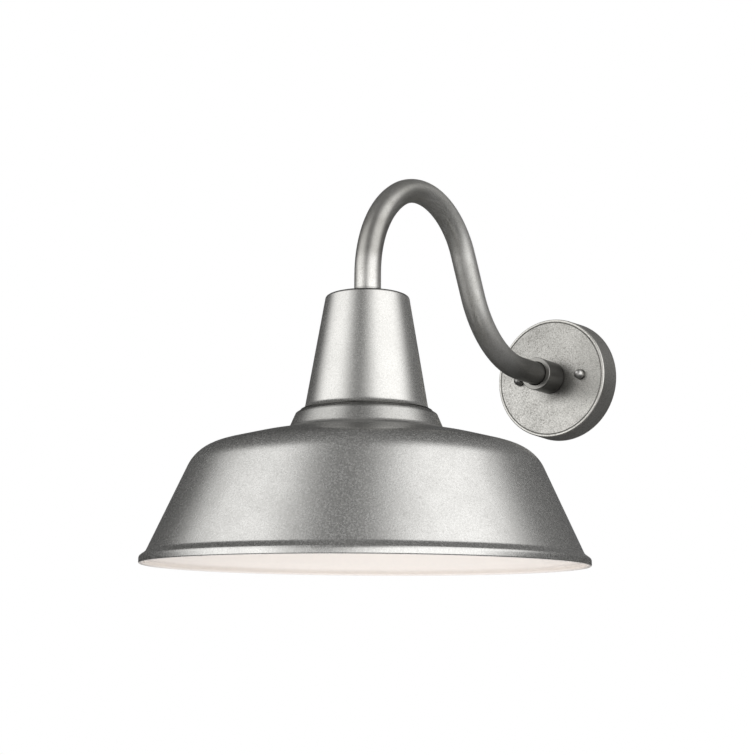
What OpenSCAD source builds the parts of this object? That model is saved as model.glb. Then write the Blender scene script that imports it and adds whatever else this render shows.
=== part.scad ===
// Outdoor wall lantern: gooseneck arm, neck housing and spun shade on a round wall plate.
// Origin: centre of the mounting strap's back face, on the wall. The lantern stands out
// along -Y, its arm lies in the plane x = 0, and +Z is up.

/* [Wall plate] */
// Diameter of the plate at the wall
plate_d = 120.6; // [112:0.2:140]
// Distance that the plate's face stands off the wall
plate_depth = 25; // [20:0.5:32]
// Radius that the side wall loses from the wall to the face
plate_draft = 0.9; // [0:0.1:3]
// Sheet thickness of the plate
plate_wall = 1.2; // [0.8:0.1:2]
// Outer radius of the rounded edge
plate_edge_r = 1.4; // [1.3:0.1:4]
// Distance from the plate's edge to the groove round its face
groove_inset = 3.4; // [2.6:0.1:6]
// Radius of the groove's round section
groove_r = 0.5; // [0.3:0.05:0.6]
// Thickness of the foam gasket
gasket_t = 3; // [2:0.5:5]
// Width of the foam gasket's ring
gasket_w = 4; // [3:0.5:4.5]

/* [Mounting strap] */
// Length of the strap
strap_len = 104; // [100:1:106]
// Width of the strap
strap_w = 20; // [18:1:26]
// Thickness of the strap
strap_t = 2; // [1.5:0.1:3]
// Distance between the outlet box slots
slot_pitch = 88.9; // [88:0.1:90]
// Length of each slot
slot_len = 9; // [7:0.5:10]
// Width of each slot
slot_w = 4.8; // [4:0.1:5.5]
// Distance between the two studs
stud_pitch = 68; // [64:0.5:70]
// Diameter of the studs
stud_d = 4.2; // [4:0.1:5]
// Length of stud beyond the plate's face
stud_proud = 5.5; // [4:0.5:6]
// Thickness of the lock nuts on the studs
lock_nut_t = 3.2; // [2.5:0.1:4]

/* [Cap nuts] */
// Diameter of each ball
ball_d = 9.6; // [9:0.1:12]
// Height of the ball's centre above the plate
ball_height = 3.4; // [3:0.1:5]
// Diameter of the flange under the ball
nut_flange_d = 10.4; // [10:0.1:14]
// Thickness of the flange
nut_flange_t = 1; // [0.8:0.1:2]

/* [Arm] */
// Distance from the wall to the shade's axis
arm_reach = 332; // [310:1:400]
// Outside diameter of the arm tube
tube_d = 22.2; // [20:0.1:24]
// Wall of the arm tube
tube_wall = 1.5; // [1:0.1:2.5]
// Straight length above the neck housing
arm_rise = 20.6; // [18:0.2:60]
// Centre-line radius of the first bend
bend_a_r = 94; // [80:1:110]
// Angle of the first bend
bend_a = 56; // [50:1:62]
// Centre-line radius of the bend over the top
bend_b_r = 71; // [62:1:80]
// Angle of the bend over the top
bend_b = 99; // [94:1:102]
// Centre-line radius of the bend into the wall plate
bend_c_r = 94; // [80:1:105]
// Outside diameter of the collar
collar_d = 32; // [29:0.5:36]
// Length of the collar
collar_len = 29.5; // [20:0.5:40]

/* [Neck housing] */
// Height of the neck housing's top above the arm's axis at the wall
neck_rise = 20; // [10:1:40]
// Height of the neck housing
neck_h = 95.6; // [88:0.2:110]
// Diameter at the top, to the sharp corner
neck_top_d = 68.8; // [64:0.2:76]
// Diameter where the cone meets the flared foot
neck_low_d = 100.2; // [98:0.2:103]
// Diameter of the flared foot
neck_foot_d = 107.2; // [106.4:0.2:109]
// Wall of the neck housing
neck_wall = 2; // [1.5:0.1:3]
// Radius of the top edge
neck_edge_r = 2.2; // [1:0.1:5]
// Radius of the blend into the foot
neck_blend_r = 5; // [3:0.5:6]
// Thickness of the foot at its edge
foot_edge_t = 0.8; // [0.6:0.1:1.5]
// Height of the foot's slope
foot_drop = 2.1; // [1.6:0.1:2.6]
// Thickness of the foot's flange
flange_t = 2; // [1.6:0.1:3]

/* [Shade] */
// Diameter over the lip
rim_d = 355.6; // [345:0.2:375]
// Height of the shade
shade_h = 123.9; // [118:0.2:140]
// Sheet thickness of the shade
shade_wall = 1.2; // [0.8:0.1:1.8]
// Diameter of the opening in the shade's top and in the foot's flange
throat_d = 68; // [64:1:72]
// Diameter of the step at its top corner
step_top_d = 114.2; // [113:0.2:120]
// Height of the step's slope above its corner
step_rise = 1.3; // [0.8:0.1:2]
// Height of the step
step_h = 14; // [12:0.2:20]
// Slope of the step's side from upright
step_angle = 23; // [10:0.5:30]
// Slope of the dome from level
dome_angle = 14.8; // [10:0.2:18]
// Slope of the skirt from upright
skirt_angle = 24.2; // [20:0.1:27]
// Radius of the shoulder between dome and skirt
shoulder_r = 31.4; // [20:0.2:45]
// Height of the lip
lip_h = 10.4; // [9:0.1:14]
// Height of the lip's upright band
lip_band_h = 5.6; // [4:0.1:7]
// Width that the lip flares out
lip_flare = 5.6; // [4:0.1:8]
// Radius of the rolled hem
hem_r = 1.3; // [1:0.1:1.8]

/* [Socket and lamp] */
// Depth of the porcelain socket's top below the neck housing's top
socket_depth = 30; // [28:0.5:34]
// Length of the porcelain socket
socket_len = 50; // [48:0.5:54]
// Diameter of the porcelain's upper part
socket_head_d = 45; // [43:0.5:48]
// Diameter of the porcelain's barrel
socket_barrel_d = 39; // [36:0.5:42]
// Diameter of the lamp's screw cap
cap_d = 26.3; // [26:0.1:26.5]
// Length of the lamp's screw cap
cap_len = 21.5; // [20:0.5:23]
// Diameter of the lamp's glass
glass_d = 60; // [50:0.5:64]
// Overall length of the lamp
lamp_len = 110; // [104:1:120]
// Wall of the lamp's glass
glass_wall = 0.8; // [0.6:0.1:1.2]

/* [Wiring and fasteners] */
// Outside diameter of the threaded nipples
nipple_d = 9.8; // [9:0.1:10.4]
// Bore of the threaded nipples
nipple_bore_d = 6.8; // [6:0.1:7]
// Width across flats of the nipple nuts
nipple_nut_af = 14; // [13:0.5:16]
// Thickness of the nipple nuts
nipple_nut_t = 5.4; // [4:0.1:6]
// Diameter of each lead
lead_d = 2.2; // [1.8:0.1:2.4]
// Diameter of the shade screws
shade_screw_d = 4; // [3:0.5:5]
// Circle that the shade screws stand on
shade_screw_pcd = 82; // [80:0.5:84]

/* [Hidden] */
$fn = 96;

slip = 0.1;          // radial clearance of fitted pieces
loose = 0.4;         // radial clearance of bolts in plain holes
arc_step = 6;        // degrees between points on a blend
overcut = 1;         // length that a cutter runs past a face
seam = 0.005;        // slit between a straight and the bend beside it
tongue = 0.4;        // length of the ring inside the wall that joins them, each way
tongue_inset = 0.4;  // depth of that ring below the surface
bend_gap = 1;        // straight length between two bends

// Wall side
plate_back_r = plate_d / 2;
plate_face_r = plate_back_r - plate_draft;
plate_inner_face = plate_depth - plate_wall;
stud_x = stud_pitch / 2;
stud_r = stud_d / 2;
stud_top = plate_depth + stud_proud;
lock_nut_af = stud_d * 2.1;
nut_cavity_depth = stud_proud + 0.7;

// Arm
tube_r = tube_d / 2;
bore_r = tube_r - tube_wall;
heading_b = bend_a + bend_b;
bend_c = heading_b - 90;
apex_side_z = neck_rise + arm_rise + bend_a_r * sin(bend_a) + bend_gap * cos(bend_a)
    + bend_b_r * (sin(heading_b) - sin(bend_a));
arm_mid = (apex_side_z - bend_c_r * (1 - sin(heading_b))) / -cos(heading_b);
bends_reach = bend_a_r * (1 - cos(bend_a)) + bend_gap * sin(bend_a)
    + bend_b_r * (cos(bend_a) - cos(heading_b))
    + arm_mid * sin(heading_b) - bend_c_r * cos(heading_b);
arm_wall_run = arm_reach - bends_reach - plate_depth;
arm_path = [
  [arm_rise, bend_a_r, bend_a],
  [bend_gap, bend_b_r, bend_b],
  [arm_mid, bend_c_r, -bend_c],
  [arm_wall_run, 0, 0]
];

// Nipples and what they carry
plug_len = 14;
plug_r = bore_r - slip / 2;
nipple_r = nipple_d / 2;
nipple_bore_r = nipple_bore_d / 2;
nipple_grip = 13;    // length of nipple screwed into its plug
washer_t = 1.2;
terminal_t = 0.8;
arm_nut_top = plate_inner_face - washer_t - terminal_t;
arm_nipple_end = arm_nut_top - nipple_nut_t - 2.4;
seal_t = 1.5;
bracket_t = 1.5;
neck_inner_top = neck_rise - neck_wall;
neck_nut_z = neck_inner_top - seal_t - nipple_nut_t;
bracket_z = neck_nut_z - bracket_t;
bracket_nut_z = bracket_z - nipple_nut_t;
neck_nipple_end = bracket_nut_z - 2;

// Ground screw and lead
ground_screw_r = 2;
ground_head_r = 4.4;
ground_head_t = 2.4;
ground_screw_x = -14;
ground_bend_r = 5;
lead_r = lead_d / 2;
lead_x = 1.4;        // each lead lies this far from the arm's centre line
washer_r = nipple_nut_af / 2 + 1;
terminal_tab_w = 4;
terminal_end = washer_r + 4;    // distance from the nipple's axis to the tab's end
terminal_crimp = 2.6;           // length of lead on the tab
ground_lead_y = plate_inner_face - washer_t - terminal_t / 2;
ground_screw_z = -(ground_screw_r + lead_r + slip);

// Wire connectors
lead_bend_r = 7;
lead_tail = 20;
connector_len = 17;
connector_r = 4.6;
connector_tip_r = 3.4;
connector_grip = 7;

// Neck housing and shade
foot_z = neck_rise - neck_h;
neck_low_z = foot_z + foot_edge_t + foot_drop;
throat_r = throat_d / 2;
rim_r = rim_d / 2;
rim_z = foot_z - shade_h;
seat_r = neck_foot_d / 2 + 0.2;
step_top_r = step_top_d / 2;
step_corner_z = foot_z - step_rise;
step_low_z = foot_z - step_h;
step_low_r = step_top_r + (step_corner_z - step_low_z) * tan(step_angle);
crease_z = rim_z + lip_h;
crease_r = rim_r - lip_flare;
band_z = rim_z + lip_band_h;
// Corner where the dome's line meets the skirt's line
skirt_slope = tan(skirt_angle);
dome_slope = tan(dome_angle);
shoulder_z = (step_low_z + dome_slope * (step_low_r - crease_r - crease_z * skirt_slope))
    / (1 - dome_slope * skirt_slope);
shoulder_corner_r = crease_r - (shoulder_z - crease_z) * skirt_slope;
shade_points = [
  [throat_r, foot_z], [seat_r, foot_z], [step_top_r, step_corner_z],
  [step_low_r, step_low_z], [shoulder_corner_r, shoulder_z],
  [crease_r, crease_z], [rim_r, band_z], [rim_r, rim_z + hem_r]
];
shade_radii = [0, 0.6, 1.5, 3.5, shoulder_r, 2.4, 3.6, 0];
neck_points = [
  [0, neck_rise], [neck_top_d / 2, neck_rise], [neck_low_d / 2, neck_low_z],
  [neck_foot_d / 2, foot_z + foot_edge_t]
];
neck_radii = [0, neck_edge_r, neck_blend_r, 0];

// Shade screws
shade_screw_r = shade_screw_d / 2;
shade_screw_head_t = 2.4;
shade_nut_t = 3.2;
shade_nut_af = shade_screw_d * 1.75;
shade_screw_turns = [90, 210, 330];

// Socket, from the neck housing's top down
socket_top_z = neck_rise - socket_depth;
socket_rim_z = socket_top_z - socket_len;
socket_floor_z = socket_top_z - 18;
socket_head_h = 14;
shell_wall = 0.9;
cap_r = cap_d / 2;
shell_bore_r = cap_r + 0.15;
shell_r = shell_bore_r + shell_wall;
shell_inset = 1;
shell_drop = 3;      // screw shell's top edge below the porcelain's floor
contact_disc_r = 5;
contact_disc_t = 1;
contact_button_r = 3;
contact_button_t = 2;
bracket_w = 12;
bracket_half = 20;
bracket_foot = 10;
bracket_screw_x = 14;
bracket_screw_r = 1.9;
bracket_screw_head_r = 3.2;
bracket_screw_head_t = 2;
bracket_screw_len = 9;

// Lamp, from its contact down
lamp_gap = 0.2;
lamp_top_z = socket_floor_z - contact_disc_t - contact_button_t - lamp_gap;
lamp_contact_r = 4.6;
lamp_contact_t = 1.8;
insulator_t = 3.5;
insulator_low_r = 11;
cap_top_z = lamp_top_z - lamp_contact_t - insulator_t;
cap_low_z = cap_top_z - cap_len;
cap_wall = 0.4;
lamp_low_z = lamp_top_z - lamp_len;
glass_neck_r = cap_r - cap_wall - 0.05;
glass_grip = 6;
glass_r = glass_d / 2;
glass_corner_z = cap_low_z - 9;
glass_side_z = lamp_low_z + glass_r + 20;
stem_r = 4;
stem_disc_t = 1.2;
stem_z = cap_low_z - 26;
filament_r = 0.6;
filament_half = 12;
support_r = 0.5;
support_x = 2.4;
filament_z = lamp_low_z + glass_r + 4;

// Places the children with their +Z pointing out of the wall
module out_of_wall() rotate([90, 0, 0]) children();

// Places the children on the shade's upright axis
module on_shade_axis() translate([0, -arm_reach, 0]) children();

function unit(v) = v / norm(v);
function side(v) = [v[1], -v[0]];
function turn(a) = a > 180 ? a - 360 : a < -180 ? a + 360 : a;

// Points of an arc of radius r that blends the corner b between a and c
function blend(a, b, c, r) =
  let (
    u = unit(a - b),
    v = unit(c - b),
    half = acos(u * v) / 2,
    centre = b + unit(u + v) * r / sin(half),
    p = b + u * r / tan(half) - centre,
    q = b + v * r / tan(half) - centre,
    start = atan2(p[1], p[0]),
    sweep = turn(atan2(q[1], q[0]) - start),
    n = max(2, ceil(abs(sweep) / arc_step))
  )
  [for (i = [0:n]) centre + r * [cos(start + sweep * i / n), sin(start + sweep * i / n)]];

// A path through the points, each corner blended by its own radius
function rounded(points, radii) = [
  for (i = [0:len(points) - 1])
    each radii[i] > 0
      ? blend(points[i - 1], points[i], points[i + 1], radii[i])
      : [points[i]]
];

// The same corners moved to the inner side by t
function inner_points(points, t) =
  let (n = len(points) - 1)
  [for (i = [0:n])
    let (
      before = i > 0 ? side(unit(points[i] - points[i - 1])) : undef,
      after = i < n ? side(unit(points[i + 1] - points[i])) : undef,
      a = is_undef(before) ? after : before,
      b = is_undef(after) ? before : after
    )
    points[i] + (a + b) * t / (1 + a * b)
  ];

// Radii of the moved corners: smaller where the path turns to the inner side
function inner_radii(points, radii, t) = [
  for (i = [0:len(radii) - 1])
    radii[i] == 0 ? 0
      : cross(points[i] - points[i - 1], points[i + 1] - points[i]) < 0
        ? max(0.1, radii[i] - t)
        : radii[i] + t
];

// A closed sheet section of thickness t on the inner side of a rounded path
module sheet_section(points, radii, t) {
  outer = rounded(points, radii);
  inner = rounded(inner_points(points, t), inner_radii(points, radii, t));
  polygon(concat(outer, [for (i = [len(inner) - 1:-1:0]) inner[i]]));
}

module ring(outer_r, inner_r, height) difference() {
  cylinder(r = outer_r, h = height);
  translate([0, 0, -overcut]) cylinder(r = inner_r, h = height + 2 * overcut);
}

module hex_nut(flats, bore, height) difference() {
  cylinder(d = flats / cos(30), h = height, $fn = 6);
  translate([0, 0, -overcut]) cylinder(r = bore, h = height + 2 * overcut);
}

// A round bar or tube along a path of [straight length, bend radius, bend angle].
// It starts at the origin along +Z, and a positive bend turns towards +Y.
// The section may lie off the centre line by off_x.
module along(path, r, bore = 0, off_x = 0, i = 0) {
  if (i < len(path)) {
    length = path[i][0];
    radius = path[i][1];
    angle = path[i][2];
    before = i > 0 ? seam : 0;
    after = angle != 0 ? seam : 0;
    translate([off_x, 0, before]) linear_extrude(length - before - after) wall_ring(r, bore);
    for (z = [if (before > 0) 0, if (after > 0) length])
      translate([off_x, 0, z - tongue]) linear_extrude(2 * tongue)
        wall_ring(r - tongue_inset, bore > 0 ? bore + tongue_inset : 0);
    if (angle != 0) translate([0, 0, length]) mirror([0, angle < 0 ? 1 : 0, 0])
      translate([0, radius, 0]) rotate([90, 0, -90])
        rotate_extrude(angle = abs(angle)) translate([radius, -off_x]) wall_ring(r, bore);
    centre = angle < 0 ? -radius : radius;
    translate([0, centre, length]) rotate([-angle, 0, 0]) translate([0, -centre, 0])
      along(path, r, bore, off_x, i + 1);
  }
}

module wall_ring(r, bore) difference() {
  circle(r = r);
  if (bore > 0) circle(r = bore);
}

module at_studs() for (x = [-stud_x, stud_x]) translate([x, 0, 0]) children();

module wall_gasket() color("dimgray") out_of_wall() {
  gasket_r = plate_back_r - plate_wall - plate_draft * gasket_t / plate_depth - slip;
  ring(gasket_r, gasket_r - gasket_w, gasket_t);
}

module mounting_strap() color("lightsteelblue") out_of_wall() difference() {
  translate([-strap_len / 2, -strap_w / 2, 0]) cube([strap_len, strap_w, strap_t]);
  translate([0, 0, -overcut]) {
    at_studs() cylinder(r = stud_r + slip / 2, h = strap_t + 2 * overcut);
    for (x = [-slot_pitch / 2, slot_pitch / 2]) translate([x, 0, 0]) slot();
    translate([ground_screw_x, ground_screw_z, 0])
      cylinder(r = ground_screw_r + slip / 2, h = strap_t + 2 * overcut);
  }
}

module slot() linear_extrude(strap_t + 2 * overcut) {
  straight = slot_len - slot_w;
  translate([-straight / 2, -slot_w / 2]) square([straight, slot_w]);
  for (x = [-straight / 2, straight / 2]) translate([x, 0]) circle(d = slot_w);
}

module mounting_studs() color("silver") out_of_wall()
  at_studs() cylinder(r = stud_r, h = stud_top);

module stud_lock_nuts() color("silver") out_of_wall()
  at_studs() translate([0, 0, strap_t]) hex_nut(lock_nut_af, stud_r + slip / 2, lock_nut_t);

module ground_screw() color("seagreen") out_of_wall()
  translate([ground_screw_x, ground_screw_z, 0]) {
    cylinder(r = ground_screw_r, h = strap_t + lead_d);
    translate([0, 0, strap_t + lead_d]) cylinder(r = ground_head_r, h = ground_head_t);
  }

module wall_plate() color("darkgray") out_of_wall() difference() {
  points = [
    [0, plate_depth], [plate_face_r, plate_depth], [plate_back_r, 0]
  ];
  rotate_extrude() sheet_section(points, [0, plate_edge_r, 0], plate_wall);
  rotate_extrude() translate([plate_back_r - groove_inset - groove_r, plate_depth])
    circle(r = groove_r);
  translate([0, 0, plate_inner_face - overcut]) {
    cylinder(r = nipple_r + loose, h = plate_wall + 2 * overcut);
    at_studs() cylinder(r = stud_r + loose, h = plate_wall + 2 * overcut);
  }
  translate([0, 0, -overcut]) ring(plate_back_r + overcut, plate_back_r - 2 * plate_wall, overcut);
}

module cap_nut(x) color("gainsboro") out_of_wall() translate([x, 0, plate_depth])
  difference() {
    union() {
      cylinder(d = nut_flange_d, h = nut_flange_t);
      intersection() {
        translate([0, 0, ball_height]) sphere(d = ball_d);
        cylinder(d = ball_d, h = ball_height + ball_d);
      }
    }
    translate([0, 0, -overcut]) cylinder(r = stud_r + slip, h = nut_cavity_depth + overcut);
  }

module cap_nut_left() cap_nut(-stud_x);
module cap_nut_right() cap_nut(stud_x);

module arm_collar() color("dimgray") out_of_wall() translate([0, 0, plate_depth])
  ring(collar_d / 2, tube_r + slip, collar_len);

module gooseneck_arm() color("gray") on_shade_axis() translate([0, 0, neck_rise])
  along(arm_path, tube_r, bore_r);

module end_plug() ring(plug_r, nipple_r + slip / 2, plug_len);

module arm_end_plug() color("tan") out_of_wall() translate([0, 0, plate_depth]) end_plug();

module arm_nipple() color("goldenrod") out_of_wall() translate([0, 0, arm_nipple_end])
  ring(nipple_r, nipple_bore_r, plate_depth + nipple_grip - arm_nipple_end);

module arm_lock_washer() color("silver") out_of_wall()
  translate([0, 0, plate_inner_face - washer_t])
    ring(washer_r, nipple_r + slip, washer_t);

module arm_lock_nut() color("goldenrod") out_of_wall()
  translate([0, 0, arm_nut_top - nipple_nut_t])
    hex_nut(nipple_nut_af, nipple_r + slip / 2, nipple_nut_t);

// Ring terminal under the arm's nut, and the lead from its tab to the ground screw
module ground_lead() color("darkgreen") {
  out_of_wall() translate([0, 0, arm_nut_top]) {
    ring(washer_r, nipple_r + slip, terminal_t);
    translate([-terminal_end, -terminal_tab_w / 2, 0])
      cube([terminal_end - nipple_r - 1, terminal_tab_w, terminal_t]);
  }
  lead_down = ground_lead_y - strap_t - lead_r - 2 * ground_bend_r;
  start = -terminal_end + terminal_crimp;
  run = start - ground_screw_x + ground_head_r;
  translate([start, -ground_lead_y, 0]) rotate([0, -90, 0])
    along([[run, ground_bend_r, 90], [lead_down, ground_bend_r, 90], [run - 1, 0, 0]], lead_r);
}

module neck_end_plug() color("tan") on_shade_axis() translate([0, 0, neck_rise]) end_plug();

module neck_nipple() color("goldenrod") on_shade_axis() translate([0, 0, neck_nipple_end])
  ring(nipple_r, nipple_bore_r, neck_rise + nipple_grip - neck_nipple_end);

module neck_seal_washer() color("darkslategray") on_shade_axis()
  translate([0, 0, neck_inner_top - seal_t])
    ring(nipple_nut_af / 2 + 2, nipple_r + slip, seal_t);

module neck_lock_nut() color("goldenrod") on_shade_axis() translate([0, 0, neck_nut_z])
  hex_nut(nipple_nut_af, nipple_r + slip / 2, nipple_nut_t);

module neck_housing() color("darkgray") on_shade_axis() difference() {
  union() {
    rotate_extrude() sheet_section(neck_points, neck_radii, neck_wall);
    rotate_extrude() polygon([
      [throat_r, foot_z], [neck_foot_d / 2, foot_z],
      [neck_foot_d / 2, foot_z + foot_edge_t],
      [neck_low_d / 2, foot_z + flange_t], [throat_r, foot_z + flange_t]
    ]);
  }
  translate([0, 0, neck_inner_top - overcut])
    cylinder(r = nipple_r + loose, h = neck_wall + 2 * overcut);
  at_shade_screws() translate([0, 0, foot_z - overcut])
    cylinder(r = shade_screw_r + loose, h = flange_t + 2 * overcut);
  // The foot's sheet ends flat on the shade
  translate([0, 0, foot_z - neck_wall]) cylinder(d = neck_foot_d + overcut, h = neck_wall);
}

module at_shade_screws() for (a = shade_screw_turns)
  rotate([0, 0, a]) translate([shade_screw_pcd / 2, 0, 0]) children();

module shade() color("darkgray") on_shade_axis() difference() {
  union() {
    rotate_extrude() sheet_section(shade_points, shade_radii, shade_wall);
    rotate_extrude() translate([rim_r - hem_r, rim_z + hem_r]) circle(r = hem_r);
  }
  at_shade_screws() translate([0, 0, foot_z - shade_wall - overcut])
    cylinder(r = shade_screw_r + loose, h = shade_wall + 2 * overcut);
}

module shade_screws() color("silver") on_shade_axis() at_shade_screws() {
  under = foot_z - shade_wall;
  translate([0, 0, under])
    cylinder(r = shade_screw_r, h = shade_wall + flange_t + shade_nut_t + 0.8);
  translate([0, 0, under - shade_screw_head_t])
    cylinder(r = shade_screw_d * 0.9, h = shade_screw_head_t);
}

module shade_screw_nuts() color("silver") on_shade_axis() at_shade_screws()
  translate([0, 0, foot_z + flange_t])
    hex_nut(shade_nut_af, shade_screw_r + slip / 2, shade_nut_t);

// Bar clamped on the nipple, with two legs that stand on the porcelain
module socket_bracket() color("lightsteelblue") on_shade_axis() difference() {
  leg_top = bracket_z + bracket_t;
  union() {
    translate([-bracket_half, -bracket_w / 2, bracket_z])
      cube([2 * bracket_half, bracket_w, bracket_t]);
    for (s = [-1, 1]) {
      translate([s * (bracket_half - bracket_t / 2) - bracket_t / 2, -bracket_w / 2,
                 socket_top_z])
        cube([bracket_t, bracket_w, leg_top - socket_top_z]);
      translate([s * (bracket_half - bracket_foot / 2) - bracket_foot / 2, -bracket_w / 2,
                 socket_top_z])
        cube([bracket_foot, bracket_w, bracket_t]);
    }
  }
  translate([0, 0, bracket_z - overcut])
    cylinder(r = nipple_r + slip, h = bracket_t + 2 * overcut);
  at_bracket_screws() translate([0, 0, socket_top_z - overcut])
    cylinder(r = bracket_screw_r + slip, h = bracket_t + 2 * overcut);
}

module at_bracket_screws() for (x = [-bracket_screw_x, bracket_screw_x])
  translate([x, 0, 0]) children();

module bracket_nut() color("goldenrod") on_shade_axis() translate([0, 0, bracket_nut_z])
  hex_nut(nipple_nut_af, nipple_r + slip / 2, nipple_nut_t);

module bracket_screws() color("silver") on_shade_axis() at_bracket_screws() {
  seat = socket_top_z + bracket_t;
  translate([0, 0, seat]) cylinder(r = bracket_screw_head_r, h = bracket_screw_head_t);
  translate([0, 0, seat - bracket_screw_len])
    cylinder(r = bracket_screw_r, h = bracket_screw_len);
}

module socket_porcelain() color("ivory") on_shade_axis() difference() {
  union() {
    translate([0, 0, socket_top_z - socket_head_h])
      cylinder(d = socket_head_d, h = socket_head_h);
    translate([0, 0, socket_rim_z]) cylinder(d = socket_barrel_d, h = socket_len);
  }
  translate([0, 0, socket_rim_z - overcut])
    cylinder(r = shell_r + slip / 2, h = socket_floor_z - socket_rim_z + overcut);
  at_bracket_screws() translate([0, 0, socket_top_z - bracket_screw_len])
    cylinder(r = bracket_screw_r + slip / 2, h = bracket_screw_len + overcut);
  for (x = [-lead_x, lead_x]) translate([x, 0, lead_end_z(x)])
    cylinder(r = lead_r + slip / 2, h = socket_top_z - lead_end_z(x) + overcut);
}

module socket_screw_shell() color("khaki") on_shade_axis()
  translate([0, 0, socket_rim_z + shell_inset])
    ring(shell_r, shell_bore_r, socket_floor_z - shell_drop - socket_rim_z - shell_inset);

module socket_contact() color("goldenrod") on_shade_axis() {
  disc_z = socket_floor_z - contact_disc_t;
  translate([0, 0, disc_z]) cylinder(r = contact_disc_r, h = contact_disc_t);
  translate([0, 0, disc_z - contact_button_t])
    cylinder(r = contact_button_r, h = contact_button_t);
}

// The hot lead reaches the centre contact, and the neutral lead stops inside the porcelain
function lead_end_z(x) = x < 0 ? socket_floor_z : socket_floor_z + 6;

// A lead from the socket, through the arm, to its connector in the wall plate
module lead(x, bend) on_shade_axis() {
  start = lead_end_z(x);
  in_plate = plate_depth - arm_nipple_end;
  first = [neck_rise - start + arm_rise, bend_a_r, bend_a];
  last = [arm_wall_run + in_plate, lead_bend_r, bend];
  translate([0, 0, start])
    along([first, arm_path[1], arm_path[2], last, [lead_tail, 0, 0]], lead_r, 0, x);
}

module hot_lead() color("black") lead(-lead_x, -90);
module neutral_lead() color("white") lead(lead_x, 90);

// One connector over the end of each lead, above and below the arm
module wire_connectors() color("orange") {
  depth = arm_nipple_end - lead_bend_r;
  reach = lead_bend_r + lead_tail - connector_grip;
  for (s = [-1, 1]) mirror([0, 0, s < 0 ? 1 : 0]) translate([-s * lead_x, -depth, reach])
    difference() {
      rotate_extrude() polygon([
        [0, 0], [connector_r, 0], [connector_tip_r, connector_len], [0, connector_len]
      ]);
      translate([0, 0, -overcut]) cylinder(r = lead_r + slip / 2, h = connector_grip + overcut);
    }
}

module lamp_contact() color("silver") on_shade_axis()
  translate([0, 0, lamp_top_z - lamp_contact_t])
    cylinder(r = lamp_contact_r, h = lamp_contact_t);

module lamp_insulator() color("black") on_shade_axis() rotate_extrude() polygon([
  [0, cap_top_z], [insulator_low_r, cap_top_z],
  [lamp_contact_r, cap_top_z + insulator_t], [0, cap_top_z + insulator_t]
]);

module lamp_cap() color("khaki") on_shade_axis() difference() {
  translate([0, 0, cap_low_z]) cylinder(r = cap_r, h = cap_len);
  translate([0, 0, cap_low_z - overcut])
    cylinder(r = cap_r - cap_wall, h = cap_len - cap_wall + overcut);
}

module lamp_glass() color("white") on_shade_axis() rotate_extrude() sheet_section(
  [
    [glass_neck_r, cap_low_z + glass_grip], [glass_neck_r, glass_corner_z],
    [glass_r, glass_side_z], [glass_r, lamp_low_z], [0, lamp_low_z]
  ],
  [0, 22, 24, glass_r - 0.05, 0], glass_wall
);

module lamp_stem() color("white") on_shade_axis() {
  stem_top = cap_low_z + glass_grip;
  translate([0, 0, stem_top - stem_disc_t])
    cylinder(r = glass_neck_r - glass_wall - slip / 2, h = stem_disc_t);
  translate([0, 0, stem_z]) cylinder(r = stem_r, h = stem_top - stem_disc_t - stem_z);
}

// Two support wires and the filament between them
module lamp_filament() color("dimgray") on_shade_axis() {
  for (s = [-1, 1]) {
    foot = [s * support_x, 0, stem_z - support_r / 2];
    tip = [s * filament_half, 0, filament_z];
    lean = atan2(tip[0] - foot[0], foot[2] - tip[2]);
    translate(foot) rotate([0, 180 - lean, 0])
      cylinder(r = support_r, h = norm(tip - foot));
  }
  translate([-filament_half, 0, filament_z]) rotate([0, 90, 0])
    cylinder(r = filament_r, h = 2 * filament_half);
}

wall_gasket();
mounting_strap();
mounting_studs();
stud_lock_nuts();
ground_screw();
wall_plate();
cap_nut_left();
cap_nut_right();
arm_collar();
arm_end_plug();
arm_nipple();
arm_lock_washer();
arm_lock_nut();
ground_lead();
gooseneck_arm();
neck_end_plug();
neck_nipple();
neck_seal_washer();
neck_lock_nut();
neck_housing();
shade();
shade_screws();
shade_screw_nuts();
socket_bracket();
bracket_nut();
bracket_screws();
socket_porcelain();
socket_screw_shell();
socket_contact();
hot_lead();
neutral_lead();
wire_connectors();
lamp_contact();
lamp_insulator();
lamp_cap();
lamp_glass();
lamp_stem();
lamp_filament();
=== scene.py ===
import math

import bpy
import numpy as np
from mathutils import Matrix, Vector


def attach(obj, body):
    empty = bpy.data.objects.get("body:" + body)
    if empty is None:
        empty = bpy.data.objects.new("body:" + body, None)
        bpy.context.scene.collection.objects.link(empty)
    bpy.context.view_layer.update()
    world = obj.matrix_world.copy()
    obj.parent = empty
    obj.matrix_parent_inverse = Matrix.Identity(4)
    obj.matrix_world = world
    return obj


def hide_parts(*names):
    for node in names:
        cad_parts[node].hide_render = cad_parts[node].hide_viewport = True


# Wall lantern: gooseneck arm, neck housing and spun shade on a round wall plate.
# Shapes and the places of masks are given in millimetres, and the meshes are in metres.

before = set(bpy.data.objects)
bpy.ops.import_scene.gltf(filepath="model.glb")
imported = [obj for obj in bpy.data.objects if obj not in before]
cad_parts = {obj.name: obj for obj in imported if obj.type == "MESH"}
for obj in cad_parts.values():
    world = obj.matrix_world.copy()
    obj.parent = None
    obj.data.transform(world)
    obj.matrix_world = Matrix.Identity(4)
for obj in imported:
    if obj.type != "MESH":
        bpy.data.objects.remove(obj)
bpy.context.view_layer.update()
mm = 0.001
shadeAxis = (0.0, -332.0)  # X and Y of the shade's upright axis
sharpAngle = math.radians(32.0)  # edges that turn more than this stay sharp
bumpDistance = 0.2 * mm
leastRadius = 0.1
print("frame loaded:", len(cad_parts), "nodes")


# Shape functions

def unit(v):
    return v / np.linalg.norm(v)


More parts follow.
